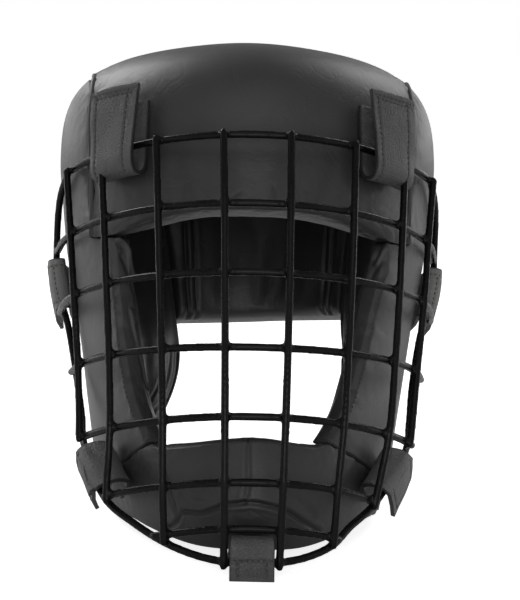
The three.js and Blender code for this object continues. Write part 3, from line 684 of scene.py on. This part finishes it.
def tube(line, radius, taper=1):  # a round rod along a line of the upright helmet
    curve = bpy.data.curves.new("rod", "CURVE")
    curve.dimensions = "3D"
    spline = curve.splines.new("POLY")
    spline.points.add(len(line) - 1)
    spline.points.foreach_set("co", np.column_stack([moved(line, stand), np.ones(len(line))]).ravel())
    spline.points.foreach_set("radius", np.ones(len(line)) * taper)
    curve.bevel_depth, curve.bevel_resolution, curve.use_fill_caps = radius / 1000, 3, True
    made = addObject("rod", curve)
    graph = bpy.context.evaluated_depsgraph_get()
    mesh = bpy.data.meshes.new_from_object(made.evaluated_get(graph))
    bpy.data.objects.remove(made)
    bpy.data.curves.remove(curve)
    return mesh


def joinedMesh(name, meshes):
    bm = bmesh.new()
    for mesh in meshes:
        bm.from_mesh(mesh)
        bpy.data.meshes.remove(mesh)
    joined = bpy.data.meshes.new(name)
    bm.to_mesh(joined)
    bm.free()
    return joined


welts = {"radius": 1.5, "sink": 1.0, "wearAndPaintedLight": 0.5}


def weltMesh(line):
    foot = footOf(line, 2)
    return tube(foot - outward(foot) * welts["sink"], welts["radius"])


seamWelts = addObject("seam_welts", joinedMesh("seam_welts", [
    weltMesh(seams[name]) for name in ("left", "right", "crownFront", "crownBack")]))
setAttribute(seamWelts.data, "wearAndPaintedLight", np.full(len(seamWelts.data.vertices), welts["wearAndPaintedLight"]))
finished(seamWelts, weltLeather, "pad_leather")
print("welts laid")

cage = {"size": 4.2, "weld": 0.84, "voxel": 1.0, "smoothing": 5, "relax": 0.5, "swell": 1.09,
        "step": 1.6, "tips": (0.55, 0.95)}
crossWires = [  # height, lift 100 mm out from the middle, front, half width, depth, end angle
    (76.8, 0, 26, 124.4, 183, 60), (34.5, 3, 12, 114.6, 168, 82), (-5, 4, 5, 111, 160, 85),
    (-46.1, 5.5, 2, 103.5, 150, 79), (-82.6, -2, 4, 103, 140, 65.3), (-116.4, -5, 10, 95, 130, 53),
    (-139.8, -10, 18, 85, 110, 37)]
uprights = [  # x at the top, x at the bottom left and right, last cross wire, head, tail
    (18.6, 15, 15, 6, 3, 22), (55.5, 45.5, 45.5, 6, 3, 7), (86.4, 72, 72, 5, 3, 6),
    (107.2, 88, 84, 4, 0.5, 4)]
rimRoute = [  # one side of the rim, from the top wire round to the chin
    (106.4, 115, 76.8), (111.5, 135, 67), (113.6, 154, 47), (112.6, 160, 20), (105, 156, -8),
    (98.8, 144, -40), (94.3, 120, -66), (90.3, 93, -87), (74, 66, -120), (59, 50, -134.5),
    (45, 38, -145.5), (29.5, 29, -152.8), (15, 24.5, -156.3), (0, 23.5, -157.2)]
# how far each side of the cage is bent in, between which depths, and from where to where sideways
cageBend = {-1: (-4, 70, 120), 1: (-7.5, 60, 150), "middle": 35, "side": 70}


def bent(point):
    reach, top, bottom = cageBend[1 if point[0] > 0 else -1]
    share = smoothstep(-point[2], top, bottom) \
        * smoothstep(abs(point[0]), cageBend["middle"], cageBend["side"])
    return np.array([point[0] + reach * float(share), point[1], point[2]])


def wirePoint(wire, degrees):
    z, lift, front, halfWidth, depth, _ = wire
    turn = math.radians(degrees)
    x = halfWidth * math.sin(turn)
    return np.array([x, front + depth * (1 - math.cos(turn)), z + lift * (x / 100) ** 2])


def wireOut(wire, degrees):
    turn = math.radians(degrees)
    out = np.array([wire[4] * math.sin(turn), -wire[3] * math.cos(turn), 0])
    return out / np.linalg.norm(out)


crossPoints = [[bent(wirePoint(wire, wire[5] * c)) for c in np.linspace(-1, 1, 13)] for wire in crossWires]


def uprightPoints(upright, side):
    top, left, right, last, head, tail = upright
    bottom = right if side > 0 else left
    spacing = cage["weld"] * cage["size"]
    points = []
    for wire in crossWires[:last + 1]:
        share = (crossWires[0][0] - wire[0]) / (crossWires[0][0] - crossWires[-1][0])
        x = top + (bottom - top) * share

        def turnAt(distance):
            return side * math.degrees(math.asin(distance / wire[3]))

        turn = turnAt(x - spacing * abs(wireOut(wire, turnAt(x))[0]))
        points.append(wirePoint(wire, turn) + spacing * wireOut(wire, turn))

    def beyond(start, end, distance):
        return end + distance * (end - start) / np.linalg.norm(end - start)

    ends = beyond(points[1], points[0], head), beyond(points[-2], points[-1], tail)
    return [bent(p) for p in [ends[0], *points, ends[1]]]


rimSides = {side: [bent(np.array([side * x, y, z], float)) for x, y, z in rimRoute] for side in (-1, 1)}
rimPoints = rimSides[-1] + rimSides[1][::-1][1:]


def wireTube(points):
    line = curveThrough(points, int(lineLength(np.array(points)) / cage["step"]))
    radii = np.full(len(line), cage["swell"])
    radii[[0, -1]] *= cage["tips"][0]  # dipped ends are rounded
    radii[[1, -2]] *= cage["tips"][1]
    return tube(line, cage["size"] / 2, radii)


def faceCage():
    routes = [*crossPoints, *[uprightPoints(upright, side) for upright in uprights for side in (-1, 1)],
              rimPoints]
    made = addObject("cage_wires", joinedMesh("cage_wires", [wireTube(route) for route in routes]))
    remesh = made.modifiers.new("fuse", "REMESH")
    remesh.mode, remesh.voxel_size = "VOXEL", cage["voxel"] / 1000
    relax = made.modifiers.new("relax", "SMOOTH")
    relax.factor, relax.iterations = cage["relax"], cage["smoothing"]
    return applied(made)


cageWires = finished(faceCage(), coatedWire, "coated_wire", "face_cage")
print("cage fused", len(cageWires.data.polygons), "faces")

strapShape = {"thickness": 2.4, "seamGap": 0.6, "play": 0.6, "across": 21, "along": 62, "bevel": 0.5,
              "freePart": 0.8, "ripple": 0.35, "rippleSize": 16, "smallRipple": 0.4, "smallSize": 6,
              "groove": 0.45, "grooveWidth": 0.75, "threadSunk": 0.7, "rubbed": 0.1, "rubbedIn": 2.4,
              "cutFrom": 1.1, "cutTo": 1.5}
tear = {"broad": 4.5, "fine": 17, "fineShare": 0.4, "rows": 7}  # how ragged the free ends are
routeSteps = 1199  # how finely a wire is searched for a strap's place
# the last number of each strap lightens its leather all over: a little for wear on the forehead straps, more
# on the jaw straps and most on the temple straps, where it is painted light for the side light falling on
# them
browStrap = {"width": 33, "fold": 16, "anchor": 28, "free": 33, "over": cage["weld"] * cage["size"],
             "end": 14, "square": 1, "away": (0, 0, 1), "ragged": 0.5, "wearAndPaintedLight": 0.05}
templeStrap = {"width": 32, "fold": 9, "anchor": 30, "free": 36, "over": 0, "end": 13, "square": 0.3,
               "away": (0, 1, 0), "ragged": 0.6, "wearAndPaintedLight": 1.4}
jawStrap = {"width": 33, "fold": 8, "anchor": 16, "free": 23, "over": 0.6, "end": 15, "square": 0.4,
            "away": (0, 1, 0), "ragged": 1.0, "wearAndPaintedLight": 0.26}
# sewn lines across (0 to 1) and along (0 at the sewn end, 1 at the free end) each kind of strap
browSewing = [[(0.13, 0.97), (0.13, 0.48)], [(0.8, 0.97), (0.8, 0.5)], [(0.05, 0.968), (0.97, 0.968)],
              [(0.1, 0.945), (0.9, 0.945)]]
templeSewing = [[(0.14, 0.94), (0.86, 0.94)], [(0.14, 0.475), (0.86, 0.475)], [(0.14, 0.94), (0.14, 0.43)],
                [(0.86, 0.94), (0.86, 0.43)]]
jawSewing = [[(0.12, 0.93), (0.88, 0.93)], [(0.12, 0.93), (0.12, 0.6)], [(0.88, 0.93), (0.88, 0.6)]]
chinSewing = [[(0.06, 0.8), (0.94, 0.8)], [(0.18, 0.8), (0.18, 0.975)], [(0.82, 0.8), (0.82, 0.975)]]
strapPlaces = [  # name, the wire it holds, axis and place on it, part of the wire, shape, sewing
    ("forehead_strap_left", crossPoints[0], 0, -75.5, (0.1, 0.4), browStrap, browSewing),
    ("forehead_strap_right", crossPoints[0], 0, 74.5, (0.6, 0.9), browStrap, browSewing),
    ("temple_strap_left", rimPoints, 2, 18, (0.03, 0.25), templeStrap, templeSewing),
    ("temple_strap_right", rimPoints, 2, 18, (0.75, 0.97), templeStrap, templeSewing),
    ("jaw_strap_left", rimPoints, 2, -102, (0.2, 0.45), jawStrap, jawSewing),
    ("jaw_strap_right", rimPoints, 2, -102, (0.55, 0.8), jawStrap, jawSewing)]


def strapLine(wire, tangent, strap):  # down the sewn leg, round the fold and back along the free leg
    skin = footOf(wire)
    out = outward(skin)
    away = np.array(strap["away"], float)
    level = away - out * (away @ out)
    level /= np.linalg.norm(level)
    across = np.cross(out, tangent)
    across /= np.linalg.norm(across)
    level = level + (across * np.sign(across @ level) - level) * strap["square"]
    level /= np.linalg.norm(level)
    inner = strapShape["seamGap"] + strapShape["play"] + 0.5 * strapShape["thickness"]
    outer = ((wire - skin) @ out + 0.5 * (cage["size"] + strapShape["thickness"]) + strapShape["play"]
             + strap["over"])
    radius = 0.5 * (outer - inner)

    def point(reach, height):
        base = onShell(skin + level * reach)
        return base + outward(base) * height

    arc = [point(radius - strap["fold"] - radius * math.sin(math.pi * t),
                 inner + radius * (1 - math.cos(math.pi * t))) for t in (0, 0.25, 0.5, 0.75, 1)]
    return curveThrough([point(strap["anchor"], inner), point(0.5 * strap["anchor"], inner),
                         point(0, inner), *arc, point(0, outer),
                         point(0.5 * strap["free"], 0.5 * (outer + strap["end"])),
                         point(strap["free"], strap["end"])], strapShape["along"])


def foldedLines(route, axis, at, between, strap):
    fine = curveThrough(route, routeSteps + 1)
    low, high = [int(share * routeSteps) for share in between]
    place = low + int(np.argmin(np.abs(fine[low:high, axis] - at)))
    lines = []
    for share in np.linspace(-0.5, 0.5, strapShape["across"]):
        index = place + share * strap["width"] / lineLength(fine) * routeSteps
        k = int(index)
        wire = fine[k] + (fine[k + 1] - fine[k]) * (index - k)
        line = strapLine(wire, fine[k + 1] - fine[k], strap)
        torn = strap["ragged"] * (noise.noise((tear["broad"] * share, at, 3.1))
                                  + tear["fineShare"] * noise.noise((tear["fine"] * share, at, 8.7)))
        direction = line[-1] - line[-2]
        tail = np.linspace(0, 1, tear["rows"])[:, None]
        line[-tear["rows"]:] += tail * torn * direction / np.linalg.norm(direction)
        lines.append(line)
    return np.array(lines)


def surfaceOf(lines):  # which way one side of a strap faces at each place
    facing = np.cross(np.gradient(lines, axis=1), np.gradient(lines, axis=0))
    return facing / np.linalg.norm(facing, axis=-1, keepdims=True)


def gridAt(grid, s, t):
    a, b = s * (grid.shape[0] - 1), t * (grid.shape[1] - 1)
    i, j = min(int(a), grid.shape[0] - 2), min(int(b), grid.shape[1] - 2)
    u, v = a - i, b - j
    return ((grid[i, j] * (1 - u) + grid[i + 1, j] * u) * (1 - v)
            + (grid[i, j + 1] * (1 - u) + grid[i + 1, j + 1] * u) * v)


def bandMesh(name, lines):
    across, along = lines.shape[:2]
    bm = bmesh.new()
    bmesh.ops.create_grid(bm, x_segments=across - 1, y_segments=along - 1, size=1)
    world = moved(lines.reshape(-1, 3), stand)
    for vert in bm.verts:
        s = round((vert.co.x + 1) / 2 * (across - 1))
        i = round((vert.co.y + 1) / 2 * (along - 1))
        vert.co = Vector(world[s * along + i])
    mesh = bpy.data.meshes.new(name)
    bm.to_mesh(mesh)
    bm.free()
    return mesh


stitching = {"pitch": 3.1, "length": 2.1, "radius": 0.32, "sink": 0.12, "ahead": 0.8}
stitches = bmesh.new()


def sewAlong(points, facings):  # one small thread loop after another along a line on a surface
    length = lineLength(points)
    along = np.concatenate([[0], np.cumsum(np.linalg.norm(np.diff(points, axis=0), axis=1))])
    for place in np.arange(0.5 * stitching["pitch"], length, stitching["pitch"]):
        centre, facing, ahead, behind = [
            Vector([np.interp(place + d, along, values[:, k]) for k in range(3)])
            for values, d in ((points, 0), (facings, 0), (points, stitching["ahead"]),
                              (points, -stitching["ahead"]))]
        forward = (ahead - behind).normalized()
        sideways = facing.cross(forward).normalized()
        turn = Matrix((forward, sideways, forward.cross(sideways))).transposed().to_4x4()
        size = Matrix.Diagonal((0.5 * stitching["length"], stitching["radius"], stitching["radius"], 1))
        lifted = centre + facing.normalized() * (stitching["radius"] - stitching["sink"])
        bmesh.ops.create_uvsphere(stitches, u_segments=6, v_segments=4, radius=1,
                                  matrix=stand @ Matrix.Translation(lifted) @ turn @ size)


def strapObject(name, lines, sewing, facingOut, wearAndPaintedLight):
    facing = surfaceOf(lines) * facingOut
    ripple = np.array([[noise.noise(Vector(p) / strapShape["rippleSize"])
                        + strapShape["smallRipple"] * noise.noise(Vector(p) / strapShape["smallSize"])
                        for p in line] for line in lines])
    lines = lines + facing * ripple[..., None] * strapShape["ripple"]
    made = addObject(name + "_leather", bandMesh(name, lines))
    wall = made.modifiers.new("thickness", "SOLIDIFY")
    wall.thickness, wall.offset = strapShape["thickness"] / 1000, 0
    edge = made.modifiers.new("edge", "BEVEL")
    edge.width, edge.segments, edge.limit_method = strapShape["bevel"] / 1000, 2, "ANGLE"
    applied(made)
    subdivided(made, 1)
    points = moved(meshPoints(made.data), unstand)
    normals = meshNormals(made.data)
    surface = lines + facing * 0.5 * strapShape["thickness"]
    dip = np.zeros(len(points))
    for start, end in sewing:
        places = np.linspace(start, end, 40)
        row = np.array([gridAt(surface, s, t) for s, t in places])
        tops = np.array([gridAt(facing, s, t) for s, t in places])
        dip = np.maximum(dip, np.exp(-(nearLine(points, row)[0] / strapShape["grooveWidth"]) ** 2))
        sewAlong(row - tops * strapShape["groove"] * strapShape["threadSunk"], tops)
    setPoints(made.data, onFloor(points - normals * (dip * strapShape["groove"])[:, None]))
    rim = np.min([nearLine(points, line)[0] for line in (lines[0], lines[-1], lines[:, -1])], axis=0)
    rubbed = np.exp(-np.abs(rim - strapShape["rubbedIn"]))
    # lighter where the edges are rubbed, on top of the share given for the whole strap, which is painted
    # light on the temple and jaw straps
    setAttribute(made.data, "wearAndPaintedLight", wearAndPaintedLight + strapShape["rubbed"] * rubbed)
    setAttribute(made.data, "cutEdgeAndSeamShade", 1 - smoothstep(rim, strapShape["cutFrom"], strapShape["cutTo"]))
    return finished(made, strapLeather, "strap_leather", name)


freeLeg = strapShape["across"] // 2, int(strapShape["freePart"] * strapShape["along"])
for name, route, axis, at, between, strap, sewing in strapPlaces:
    lines = foldedLines(route, axis, at, between, strap)
    facingOut = np.sign(surfaceOf(lines)[freeLeg] @ outward(onShell(lines[freeLeg])))
    strapObject(name, lines, sewing, facingOut, strap["wearAndPaintedLight"])
chinStrap = {
    "line": [(0, 54, -150.6), (0, 46, -150), (0, 36, -148.5), (0, 28.5, -146), (0, 23.5, -144.4),
             (0, 20, -144.2), (0, 18, -146.3), (0, 17.8, -151), (0, 18.4, -158), (0, 18.2, -162),
             (0, 17, -168.2)],
    "width": 23.6, "wearAndPaintedLight": 0.07}
chinLines = np.array([curveThrough(np.array(chinStrap["line"]) + np.array([share * chinStrap["width"], 0, 0]),
                                   strapShape["along"])
                      for share in np.linspace(-0.5, 0.5, strapShape["across"])])
facingFront = -np.sign(surfaceOf(chinLines)[freeLeg][1])
strapObject("chin_strap", chinLines, chinSewing, facingFront, chinStrap["wearAndPaintedLight"])
print("straps folded")

cheekSewing = {"in": 3.2, "rearward": (0.75, 0.66), "from": 20}
surfaces = {name: surfaceTree(pads[name].data) for name in ("side_pad_left", "side_pad_right")}


def sewOnPad(name, line, outside):  # a line near the pad, and directions away from its surface
    places, facings = [], []
    for p, out in zip(line, outside):
        away = (stand.to_3x3() @ Vector(out)).normalized() * cheekSewing["from"] / 1000
        hit, normal, _, _ = surfaces[name].ray_cast(stand @ Vector(p) + away, -away, 2 * away.length)
        if hit is not None:
            places.append(unstand @ hit)
            facings.append((unstand.to_3x3() @ normal).normalized())
    if len(places) > 2:
        sewAlong(np.array(places), np.array(facings))


for side, name in ((-1, "side_pad_left"), (1, "side_pad_right")):
    foot = footOf(curveThrough(cheekLine(side)[:-1], 60), 2)
    aside, back = cheekSewing["rearward"]
    sewOnPad(name, foot + np.array([side * aside, back, 0]) * cheekSewing["in"], outward(foot))
stitchMesh = bpy.data.meshes.new("stitching")
stitches.to_mesh(stitchMesh)
stitches.free()
finished(addObject("stitching", stitchMesh), thread, "strap_leather")
print("sewn", len(stitchMesh.polygons), "faces of thread")

floorLook = {"radius": 12, "colour": (0.86, 0.86, 0.86, 1), "rough": 0.9, "seen": 0.78, "glow": 0.02}


def floorPlane():
    bm = bmesh.new()
    bmesh.ops.create_circle(bm, cap_ends=True, segments=64, radius=floorLook["radius"])
    mesh = bpy.data.meshes.new("floor")
    bm.to_mesh(mesh)
    bm.free()
    material, tree, shader = newMaterial("pale floor")
    seen = tree.nodes.new("ShaderNodeLightPath").outputs["Is Camera Ray"]
    feedAll(tree, shader, {
        "Base Color": floorLook["colour"], "Roughness": floorLook["rough"], "Emission Color": (1, 1, 1, 1),
        "Emission Strength": mathNode(tree, "MULTIPLY_ADD", seen, floorLook["seen"], floorLook["glow"])})
    mesh.materials.append(material)
    made = addObject("floor", mesh)


floorPlane()
# light from the room by direction: dark where the sum of these shares is below from, full above to
room = {"down": -1, "base": 0.1, "across": 0.5, "back": 0.45, "from": 0.5, "to": 0.78, "dark": (0.24,) * 3,
        "light": (2.9,) * 3, "seen": (1, 1, 1, 1)}


def studioWorld():  # white behind the helmet, a darker room on the camera's side
    world = bpy.data.worlds.new("studio white")
    world.use_nodes = True
    tree = world.node_tree
    direction = tree.nodes.new("ShaderNodeSeparateXYZ")
    tree.links.new(tree.nodes.new("ShaderNodeTexCoord").outputs["Generated"], direction.inputs[0])
    x, y, z = direction.outputs
    low = mathNode(tree, "MULTIPLY_ADD", z, room["down"], room["base"])
    wide = mathNode(tree, "MULTIPLY_ADD", mathNode(tree, "ABSOLUTE", x), room["across"], low)
    behind = mathNode(tree, "MULTIPLY_ADD", y, room["back"], wide)
    light = rampNode(tree, behind, [(room["from"], room["dark"]), (room["to"], room["light"])])
    seen = tree.nodes.new("ShaderNodeLightPath").outputs["Is Camera Ray"]
    feed(tree, tree.nodes["Background"].inputs["Color"], mixNode(tree, "RGBA", seen, light, room["seen"]))
    scene.world = world


studioWorld()
lightAim = (0, 0, 0.15)
softboxes = [  # name, place, width and height, power
    ("left high softbox", (-0.8, 0.95, 1), (0.6, 0.7), 8.5),
    ("left side softbox", (-1.2, -0.7, 0.5), (0.6, 1), 0.9),
    ("right high softbox", (0.8, 0.95, 1), (0.6, 0.7), 4.5),
    ("right side softbox", (1.2, -0.7, 0.5), (0.6, 1), 0.9),
    ("front softbox", (0, -1, 1.3), (1.2, 0.8), 2),
    ("low softbox", (0, -1.5, 0.35), (1.2, 0.7), 5.6)]


def aimed(place, aim):  # the turn of a light or camera that looks from one point to another
    return (Vector(aim) - Vector(place)).to_track_quat("-Z", "Y").to_matrix()


for name, place, size, power in softboxes:
    light = bpy.data.lights.new(name, "AREA")
    light.shape, light.size, light.size_y, light.energy = "RECTANGLE", *size, power
    made = addObject(name, light)
    made.location, made.rotation_euler = place, aimed(place, lightAim).to_euler()
scene.view_settings.view_transform = "Standard"

view = {"place": (-0.0508, -1.2610, 0.3008), "aim": (0, -0.03415, 0.12854), "lens": 129.96, "sensor": 36,
        "shift": 0.0177, "roll": 1.7}
cameraData = bpy.data.cameras.new("camera")
cameraData.lens, cameraData.sensor_width, cameraData.shift_x = view["lens"], view["sensor"], view["shift"]
camera = addObject("camera", cameraData)
camera.location = view["place"]
turned = aimed(view["place"], view["aim"]) @ Matrix.Rotation(math.radians(view["roll"]), 3, "Z")
camera.rotation_euler = turned.to_euler()
scene.camera = camera
print("studio set")
